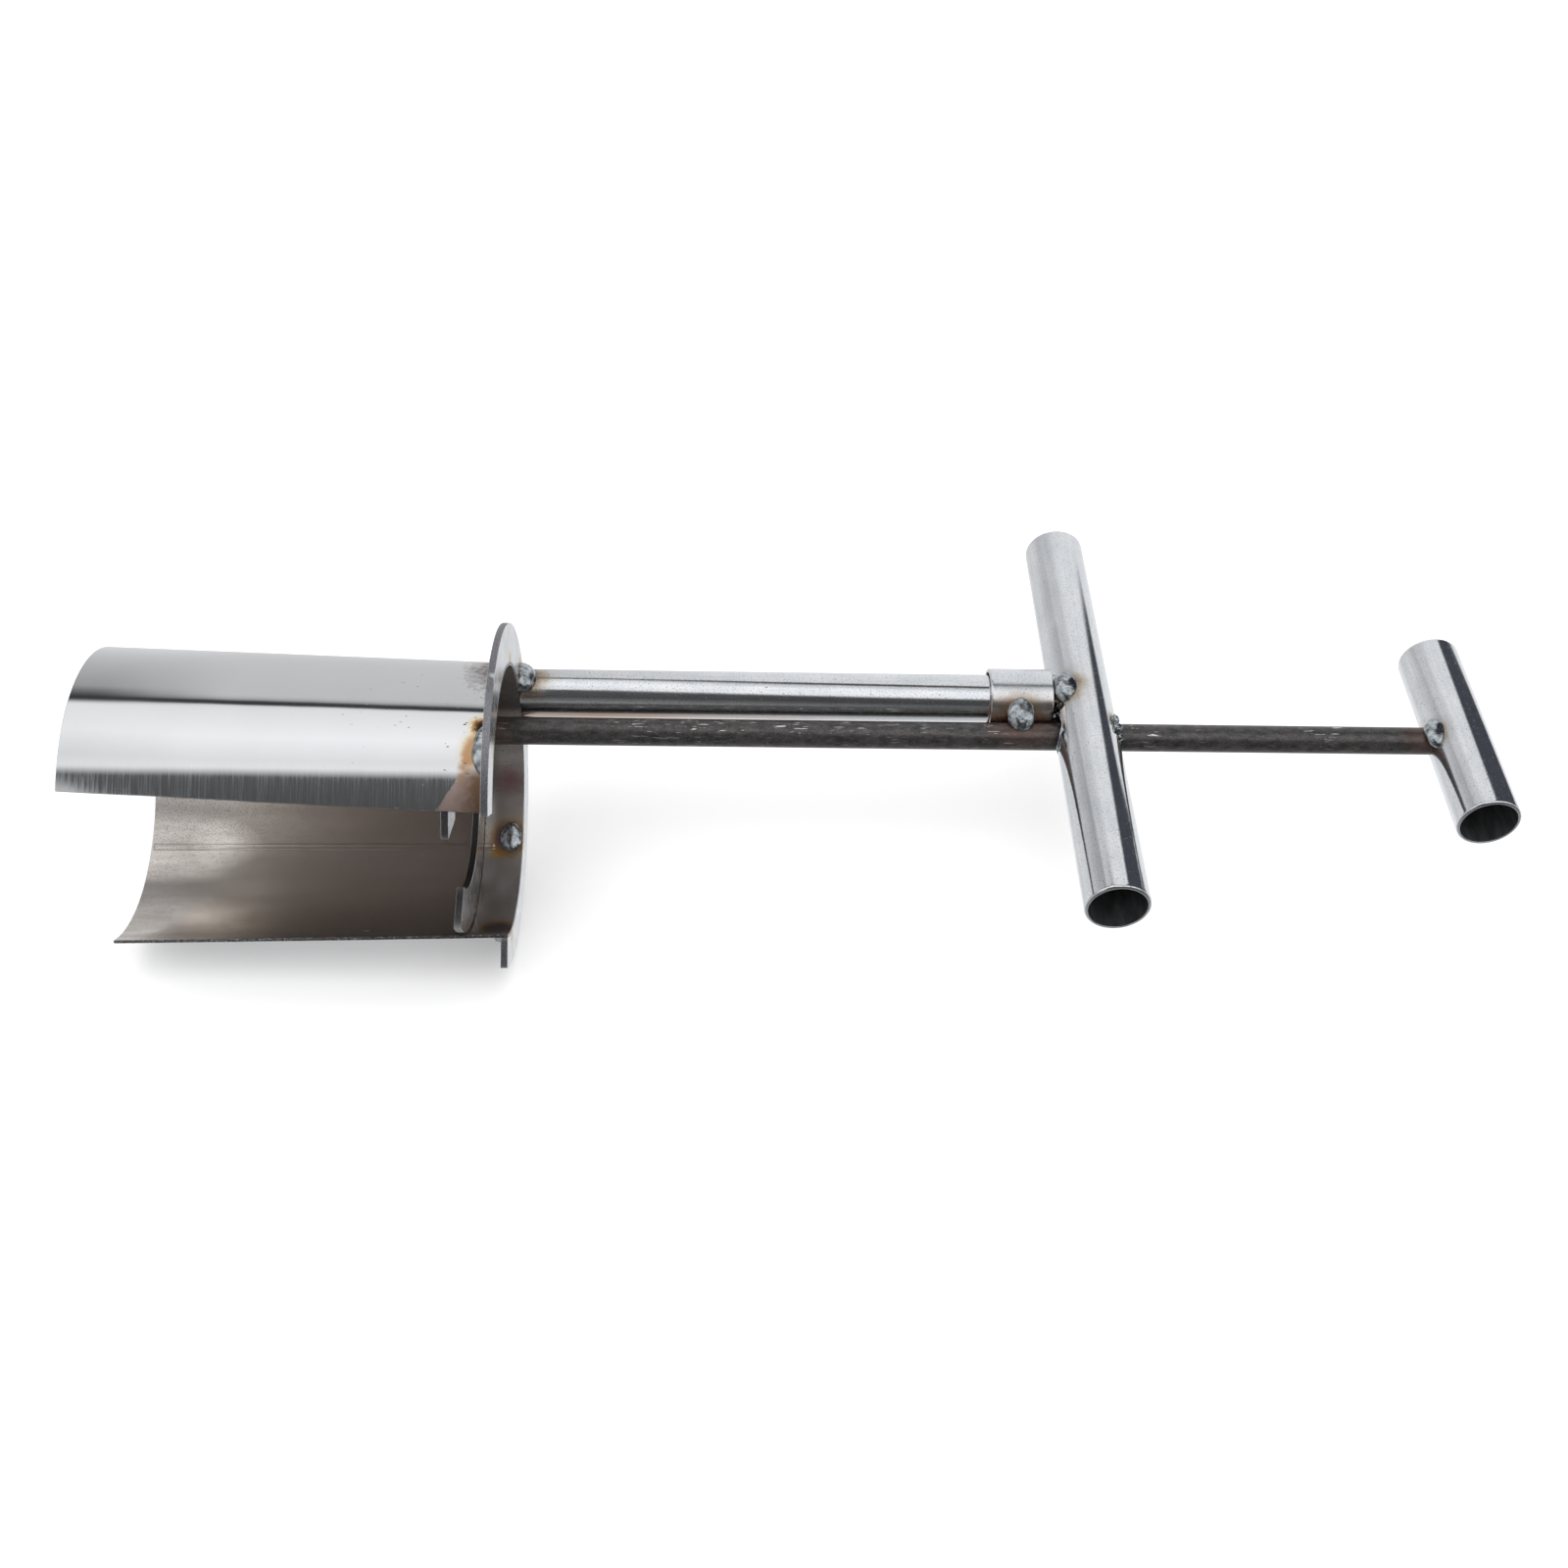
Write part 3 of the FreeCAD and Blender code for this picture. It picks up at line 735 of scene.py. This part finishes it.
def build_ring_plate(name, node, inner, outer, material, body, corner):
    """Flat open ring between two arcs, each given by a function of the share of the way round."""
    columns, rows = 181, 9
    low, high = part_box(node)
    flat = []
    for column in range(columns):
        near, far = inner(column / (columns - 1)), outer(column / (columns - 1))
        for row in range(rows):
            share = row / (rows - 1)
            flat.append((near[0] + (far[0] - near[0]) * share, near[1] + (far[1] - near[1]) * share))
    verts = [(low.x, y, z) for y, z in flat]
    verts += [(high.x, y, z) for y, z in flat]
    count = len(flat)
    sheet = grid_faces(columns, rows, wrap=False)
    faces = sheet + [tuple(count + index for index in face) for face in sheet]
    for column in range(columns - 1):
        for row in (0, rows - 1):
            a, b = column * rows + row, (column + 1) * rows + row
            faces.append((a, b, count + b, count + a))
    for row in range(rows - 1):
        for column in (0, columns - 1):
            a, b = column * rows + row, column * rows + row + 1
            faces.append((a, b, count + b, count + a))
    made = piece(name, verts, faces, [material], body, [node])
    return rounded(made, corner)


def torch_radius(angle, phase):
    """Uneven outline of a torch-cut hole."""
    return HOLE_R + sum(depth * math.sin(lobes * angle + turns * phase) for lobes, depth, turns in HOLE_WAVES)


def torch_cutter(x0, x1, phase):
    """Closed prism with the hole's outline."""
    steps = 96
    verts = []
    for x in (x0, x1):
        for step in range(steps):
            angle = 2 * math.pi * step / steps
            radius = torch_radius(angle, phase)
            verts.append((x, HOLE_Y + radius * math.cos(angle), HOLE_Z + radius * math.sin(angle)))
    faces = grid_faces(2, steps, wrap=True)
    faces.append(tuple(range(steps)))
    faces.append(tuple(range(steps, 2 * steps)))
    return verts, faces


def subtract(made, verts, faces):
    """Cuts a closed shape out of a piece."""
    mesh = bpy.data.meshes.new("cutter")
    mesh.from_pydata(verts, [], faces)
    bm = bmesh.new()
    bm.from_mesh(mesh)
    bmesh.ops.recalc_face_normals(bm, faces=bm.faces)
    bm.to_mesh(mesh)
    bm.free()
    cutter = bpy.data.objects.new("cutter", mesh)
    bpy.context.scene.collection.objects.link(cutter)
    modifier = made.modifiers.new("cut", "BOOLEAN")
    modifier.operation = "DIFFERENCE"
    modifier.solver = "EXACT"
    modifier.object = cutter
    evaluated(made)
    bpy.data.objects.remove(cutter)
    return made


def build_pipe(name, node, axis, outer, wall, materials, body, wobble=0.0, lip=LIP_R):
    low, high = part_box(node)
    start, end = (low.x, high.x) if axis == "X" else (low.y, high.y)
    profile = pipe_profile(start, end, outer, wall, lip)
    verts, faces = lathe(profile, axis, centre_of(node), wobble=wobble)
    bore = outer - wall + 0.02 * MM
    rows = len(profile)
    segments = len(verts) // rows
    inside = [profile[row][1] <= bore and profile[(row + 1) % rows][1] <= bore for row in range(rows)]
    slots = [1 if inside[row] else 0 for row in range(rows) for _ in range(segments)]
    return piece(name, verts, faces, materials, body, [node], slots)


def hole_lip(side, phase, material, name):
    """Rolled slag lip that follows the edge of a torch-cut hole."""
    steps, around = 160, 10
    verts = []
    for step in range(steps):
        angle = 2 * math.pi * step / steps
        radius = torch_radius(angle, phase)
        y, z = radius * math.cos(angle), radius * math.sin(angle)
        height = HOLE_Z + z - GRIP.z
        x = side * math.sqrt(max(GRIP_R ** 2 - height ** 2, 0.0))
        seat = Vector((GRIP.x + x, HOLE_Y + y, HOLE_Z + z))
        outward = Vector((x, 0.0, height)).normalized()
        away = Vector((0.0, math.cos(angle), math.sin(angle)))
        away = (away - outward * away.dot(outward)).normalized()
        size = (0.42 + 0.30 * noise.noise(Vector((math.cos(angle) * 2.6, math.sin(angle) * 2.6, phase)))) * MM
        for turn in range(around):
            roll = 2 * math.pi * turn / around
            verts.append(tuple(seat + size * (math.cos(roll) * away + math.sin(roll) * outward)))
    faces = grid_faces(steps, around, wrap=True)
    last = (steps - 1) * around
    for turn in range(around):
        after = (turn + 1) % around
        faces.append((last + turn, last + after, after, turn))
    return piece(name, verts, faces, [material], DIGGER)


def build_weld(name, node, body, material, voxel=0.33 * MM, lumps=0.22, ripple=0.012,
               grow=(1.0, 1.0, 1.0)):
    """Weld metal grown from the CAD deposit: lumpy skin with crescent ripples along each bead."""
    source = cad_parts[node].data
    mesh = source.copy()
    mesh.name = name
    mesh.materials.clear()
    mesh.materials.append(material)
    made = bpy.data.objects.new(name, mesh)
    bpy.context.scene.collection.objects.link(made)
    bm = bmesh.new()
    bm.from_mesh(mesh)
    bmesh.ops.remove_doubles(bm, verts=bm.verts, dist=1e-6)
    bm.to_mesh(mesh)
    bm.free()
    remesh = made.modifiers.new("even", "REMESH")
    remesh.mode = "VOXEL"
    remesh.voxel_size = voxel
    smooth = made.modifiers.new("soften", "SMOOTH")
    smooth.iterations = 3
    evaluated(made)
    deposits = islands(node)
    normals = [vert.normal.copy() for vert in made.data.vertices]
    for vert, normal in zip(made.data.vertices, normals):
        centre, half = min(deposits, key=lambda item: (item[0] - vert.co).length)
        longest = max(range(3), key=lambda axis: half[axis])
        start = centre.copy()
        start[longest] -= half[longest] * 1.3
        rough = noise.fractal(vert.co * 210.0, 1.1, 2.1, 2)
        crescent = math.sin((vert.co - start).length * 2 * math.pi / (1.25 * MM))
        vert.co += normal * (lumps * rough + ripple * crescent) * MM
        for axis in range(3):
            vert.co[axis] = centre[axis] + (vert.co[axis] - centre[axis]) * grow[axis]
    made.data.shade_smooth()
    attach(made, body)
    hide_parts(node)
    return made


def cope_cutter(centre):
    """The part of a handle pipe that a rod or stem is notched to fit."""
    reach = 30 * MM
    core = GRIP_R - 0.12 * MM
    return turned_solid([(centre.y - reach, core), (centre.y + reach, core)], "Y", centre)


def build_rod(material):
    """Slightly uneven hot-rolled bar, coped where it meets the push handle."""
    low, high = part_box("push_rod")
    stations = 180
    round_off = 0.5 * MM
    profile = arc((low.x + round_off, ROD_R - round_off), round_off, math.pi, math.pi / 2, 4)
    straight = low.x + 2 * round_off
    profile += [(straight + (high.x - straight) * step / stations, ROD_R) for step in range(stations + 1)]
    verts, faces = turned_solid(profile, "X", ROD, segments=72, wobble=ROD_WAVE)
    made = piece("rod", verts, faces, [material], PUSHER, ["push_rod"])
    return subtract(made, *cope_cutter(PUSH))


def build_stem(material, bore):
    """Main stem, coped to sit on the cross handle."""
    made = build_pipe("stem", "main_stem", "X", STEM_R, STEM_WALL, [material, bore], DIGGER, wobble=STEM_WAVE)
    return subtract(made, *cope_cutter(Vector((GRIP.x, STEM.y, GRIP.z))))


def build_cross_handle(material, bore):
    made = build_pipe("cross_grip", "cross_handle", "Y", GRIP_R, HANDLE_WALL, [material, bore], DIGGER,
                      wobble=GRIP_WAVE, lip=HANDLE_LIP_R)
    past_wall = GRIP_R + 2 * MM
    entry = torch_cutter(GRIP.x - past_wall, GRIP.x, ENTRY_PHASE)
    outlet = torch_cutter(GRIP.x, GRIP.x + past_wall, OUTLET_PHASE)
    subtract(made, *entry)
    return subtract(made, *outlet)


# ---------------------------------------------------------------- room, light and camera

def build_floor():
    half = 5.0
    low = CAD_BOX[0][2] - 0.5 * MM
    mesh = bpy.data.meshes.new("floor")
    corners = [(-half, -half, low), (half, -half, low), (half, half, low), (-half, half, low)]
    mesh.from_pydata(corners, [], [(0, 1, 2, 3)])
    s = Shader("floor_paint")
    tone = s.ramp(s.noise(0.6, 2.0), [(0.3, (0.90, 0.90, 0.90)), (0.7, (0.915, 0.915, 0.915))])
    mesh.materials.append(s.finish(tone, 0.85, metallic=0.0))
    made = bpy.data.objects.new("floor", mesh)
    made.visible_glossy = False
    bpy.context.scene.collection.objects.link(made)


# What polished metal sees on the backdrop: (degrees turned about the X axis, brightness), where 0 is the
# back horizon, 90 overhead and 180 the front horizon. Each list goes from under the tool up a grey back
# wall to a dark joint, across a white overhead softbox, and down the dark front of the room.
BACKDROP_MIDDLE = [
    (-180, 0.10), (-150, 0.12), (-118, 0.36), (-80, 0.74), (0, 0.63), (49, 0.60),
    (53, 0.42), (54.2, 0.04), (57.8, 0.04), (59.2, 0.84), (86, 1.03), (104, 0.86), (110, 0.90),
    (116.5, 0.10), (150, 0.07), (180, 0.24),
]
BACKDROP_LEFT = [
    (-180, 0.30), (-118, 0.45), (-70, 0.78), (-13, 0.68), (15, 0.53), (43, 0.37),
    (50, 0.14), (54, 0.045), (57, 0.045), (61, 0.88), (83, 0.95), (101, 0.79), (110, 0.86),
    (117, 0.34), (130, 0.66), (180, 0.30),
]
BACKDROP_RIGHT = [
    (-180, 0.10), (-150, 0.14), (-118, 0.40), (-70, 0.90), (30, 0.78), (50, 0.76),
    (55, 0.08), (61, 0.08), (66, 0.60), (86, 1.03), (114, 0.95),
    (119, 0.30), (124, 0.08), (145, 0.06), (180, 0.24),
]
BACKDROP_R = 1.0
BACKDROP_ENDS = (-3.0, 4.0)
LEFT_WALLS_END = (-0.27, -0.16)     # along X, the left walls fade into the middle ones over this stretch
LEFT_FRONT_END = (-0.318, -0.298)   # the left front stops more sharply
FRONT_FROM = 112.0                  # degrees turned
FRONT_LEAN = 0.0034                 # metres along X for each degree turned
RIGHT_WALLS_START = (0.08, 0.32)
JOINT_RISE = 21.0                   # degrees that the joint and the softbox edge climb along the tool
JOINT_RISE_OVER = (0.14, 0.54)
PANEL_START = (0.90, 0.98)          # a dark panel far to the right
PANEL_FOOT = (3.0, 11.0)
PANEL_TOP = 75.0
PANEL_LEAN = 0.007
PANEL_FOOT_DROP = 30.0              # degrees that its foot drops at its far end
PANEL_FOOT_DROP_OVER = (1.50, 1.68)
PANEL_COLOUR = (0.060, 0.064, 0.076)


def build_backdrop():
    """Glowing tube round the X axis that only reflections see."""
    columns = 96
    verts = []
    for x in BACKDROP_ENDS:
        for column in range(columns):
            angle = 2 * math.pi * column / columns
            verts.append((x, BACKDROP_R * math.cos(angle), BACKDROP_R * math.sin(angle)))
    mesh = bpy.data.meshes.new("backdrop")
    mesh.from_pydata(verts, [], grid_faces(2, columns, wrap=True))
    s = Shader("backdrop_glow")
    x, turned = s.axis("X"), s.turn()
    rise = s.math("MULTIPLY", s.span(x, *JOINT_RISE_OVER), JOINT_RISE)
    risen = s.mix(s.math("GREATER_THAN", turned, 0.0), turned, s.math("SUBTRACT", turned, rise))
    share = s.span(risen, -180.0, 180.0)

    def backdrop(stops):
        return s.ramp(share, [((place + 180.0) / 360.0, value) for place, value in stops])

    # The dark front starts at a slanting edge; the walls behind blend softly.
    front_edge = s.math("SUBTRACT", x, s.math("MULTIPLY", s.math("SUBTRACT", turned, 114.0), FRONT_LEAN))
    front = s.math("GREATER_THAN", turned, FRONT_FROM)
    not_left = s.mix(front, s.span(x, *LEFT_WALLS_END), s.span(front_edge, *LEFT_FRONT_END))
    studio = s.mix(not_left, backdrop(BACKDROP_LEFT), backdrop(BACKDROP_MIDDLE))
    studio = s.mix(s.span(x, *RIGHT_WALLS_START), studio, backdrop(BACKDROP_RIGHT))
    # The dark panel shows as the long streak in both handles.
    foot = s.math("ADD", turned, s.math("MULTIPLY", s.span(x, *PANEL_FOOT_DROP_OVER), PANEL_FOOT_DROP))
    slanted = s.math("ADD", x, s.math("MULTIPLY", s.math("SUBTRACT", turned, 43.0), PANEL_LEAN))
    panel = s.math("MULTIPLY", s.span(slanted, *PANEL_START), s.span(foot, *PANEL_FOOT))
    panel = s.math("MULTIPLY", panel, s.math("LESS_THAN", turned, PANEL_TOP))
    studio = s.mix(panel, studio, PANEL_COLOUR)
    glow = s.node("ShaderNodeEmission")
    s.feed(glow.inputs["Color"], s.mix(1.0, studio, (0.985, 1.0, 1.02), blend="MULTIPLY"))
    s.feed(s.tree.nodes["Material Output"].inputs["Surface"], glow.outputs[0])
    s.material.cycles.emission_sampling = "NONE"
    mesh.materials.append(s.material)
    made = bpy.data.objects.new("backdrop", mesh)
    made.visible_camera = False
    made.visible_diffuse = False
    made.visible_shadow = False
    made.visible_transmission = False
    bpy.context.scene.collection.objects.link(made)


def build_world():
    """Even white light that keeps the floor pale; reflections past the backdrop see plain grey."""
    world = bpy.data.worlds.new("studio")
    bpy.context.scene.world = world
    world.use_nodes = True
    s = Wiring(world.node_tree)
    seen = s.node("ShaderNodeLightPath").outputs["Is Glossy Ray"]
    s.feed(s.tree.nodes["Background"].inputs["Color"], s.mix(seen, (1.30, 1.30, 1.30), (0.60, 0.61, 0.62)))


def build_light():
    """One large soft source above, unseen in reflections, for gentle shape in the shadows."""
    data = bpy.data.lights.new("overhead", "AREA")
    data.shape = "DISK"
    data.size = 1.6
    data.energy = 9.0
    made = bpy.data.objects.new("overhead", data)
    made.location = (0.15, -0.25, 1.5)
    aim = Vector((0.3, 0.0, 0.0)) - made.location
    made.rotation_euler = aim.to_track_quat("-Z", "Y").to_euler()
    made.visible_glossy = False
    bpy.context.scene.collection.objects.link(made)


def build_camera():
    ahead = Vector((math.sin(VIEW_AZIMUTH), math.cos(VIEW_AZIMUTH), 0.0))
    forward = ahead * math.cos(VIEW_DOWN) - Vector((0.0, 0.0, math.sin(VIEW_DOWN)))
    level = Vector((math.cos(VIEW_AZIMUTH), -math.sin(VIEW_AZIMUTH), 0.0))
    up = level.cross(forward)
    right = level * math.cos(VIEW_ROLL) + up * math.sin(VIEW_ROLL)
    turned_up = right.cross(forward)
    data = bpy.data.cameras.new("camera")
    data.lens = LENS_MM
    data.sensor_width = 36.0
    data.clip_start = 0.01
    made = bpy.data.objects.new("camera", data)
    facing = Matrix((right, turned_up, -forward)).transposed().to_4x4()
    made.matrix_world = Matrix.Translation(CAMERA_PLACE) @ facing
    bpy.context.scene.collection.objects.link(made)
    bpy.context.scene.camera = made


# ---------------------------------------------------------------- the tool

def build_digger():
    ring_heat = heat_spots(10 * MM, "flange_shell_welds")
    inner_heat = heat_spots(13 * MM, "flange_shell_welds") + heat_spots(12 * MM, "shell_inner_weld")
    inside = shell_inside(inner_heat)
    weld = weld_surface()
    bore = pipe_bore()
    build_shell(polished_shell(ring_heat), inside, cut_edge())
    build_seam(inside)
    half = math.pi - WINDOW_HALF_FLANGE

    def flange_bore(share):
        return on_circle(SHELL_FLANGE_R, half * (2 * share - 1))

    def flange_rim(share):
        """Where the ray at an angle about the tool axis meets the offset disc."""
        angle = half * (2 * share - 1)
        along = FLANGE_OFFSET * math.cos(angle)
        reach = along + math.sqrt(along ** 2 - FLANGE_OFFSET ** 2 + FLANGE_DISC_R ** 2)
        return on_circle(reach, angle)

    flange_heat = heat_spots(10 * MM, "flange_shell_welds") + heat_spots(13 * MM, "stem_flange_welds")
    flange_steel = plate(flange_heat, "flange_plate", low=(0.60, 0.61, 0.62), high=(0.84, 0.84, 0.85),
                         rim=(0.22, 0.215, 0.235))
    build_ring_plate("flange", "step_flange", flange_bore, flange_rim, flange_steel, DIGGER, EDGE_ROUND)
    build_weld("flange_welds", "flange_shell_welds", DIGGER, weld, grow=(1.12, 1.1, 1.1))
    build_weld("inner_weld", "shell_inner_weld", DIGGER, weld, lumps=0.2, grow=(1.15, 1.2, 1.2))
    stem_heat = heat_spots(15 * MM, "stem_flange_welds", "stem_handle_welds")
    build_stem(zinc_pipe("zinc_stem", stem_heat, 0.03, "X", warm_underside), bore)
    build_weld("stem_foot_welds", "stem_flange_welds", DIGGER, weld, grow=(1.12, 1.12, 1.12))
    grip_heat = heat_spots(15 * MM, "stem_handle_welds") + heat_spots(6 * MM, "hole_spatter")
    build_cross_handle(zinc_pipe("zinc_grip", grip_heat, 0.02, "Y"), bore)
    build_weld("grip_welds", "stem_handle_welds", DIGGER, weld)
    build_weld("spatter", "hole_spatter", DIGGER, weld, voxel=0.2 * MM, lumps=0.25, ripple=0.05)
    hole_lip(-1.0, ENTRY_PHASE, weld, "entry_lip")
    hole_lip(1.0, OUTLET_PHASE, weld, "outlet_lip")
    return weld, bore


def build_pusher(weld, bore):
    rod_heat = heat_spots(20 * MM, "sleeve_rod_weld")
    rod_heat += heat_spots(16 * MM, "rod_handle_welds", "rod_plate_weld")
    build_rod(scaled_bar(rod_heat))
    push_heat = heat_spots(11 * MM, "rod_handle_welds")
    push_zinc = zinc_pipe("zinc_push", push_heat, 0.04, "Y")
    build_pipe("push_grip", "push_handle", "Y", GRIP_R, HANDLE_WALL, [push_zinc, bore], PUSHER,
               wobble=GRIP_WAVE, lip=HANDLE_LIP_R)
    sleeve_heat = heat_spots(16 * MM, "sleeve_rod_weld")
    sleeve_zinc = zinc_pipe("zinc_sleeve", sleeve_heat, 0.16, "Y", warm_sleeve)
    build_pipe("sleeve", "guide_sleeve", "X", GRIP_R, HANDLE_WALL, [sleeve_zinc, bore], PUSHER)
    outer_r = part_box("pusher_plate")[1].z

    def plate_edge(radius, gap_half):
        start = PUSHER_GAP_CENTRE + gap_half - 2 * math.pi
        sweep = 2 * (math.pi - gap_half)
        return lambda share: on_circle(radius, start + sweep * share)

    plate_heat = heat_spots(15 * MM, "rod_plate_weld")
    pusher_steel = plate(plate_heat, "pusher_steel", low=(0.34, 0.36, 0.38), high=(0.56, 0.58, 0.61),
                         rim=(0.075, 0.07, 0.07))
    build_ring_plate("pusher", "pusher_plate", plate_edge(PUSHER_IN_R, PUSHER_GAP_HALF_IN),
                     plate_edge(outer_r, PUSHER_GAP_HALF_OUT), pusher_steel, PUSHER, EDGE_ROUND)
    build_weld("sleeve_weld", "sleeve_rod_weld", PUSHER, weld, lumps=0.30)
    build_weld("push_welds", "rod_handle_welds", PUSHER, weld)
    build_weld("rod_foot_weld", "rod_plate_weld", PUSHER, weld, lumps=0.3)


build_pusher(*build_digger())
build_floor()
build_backdrop()
build_world()
build_light()
build_camera()
bpy.context.scene.view_settings.view_transform = "Standard"
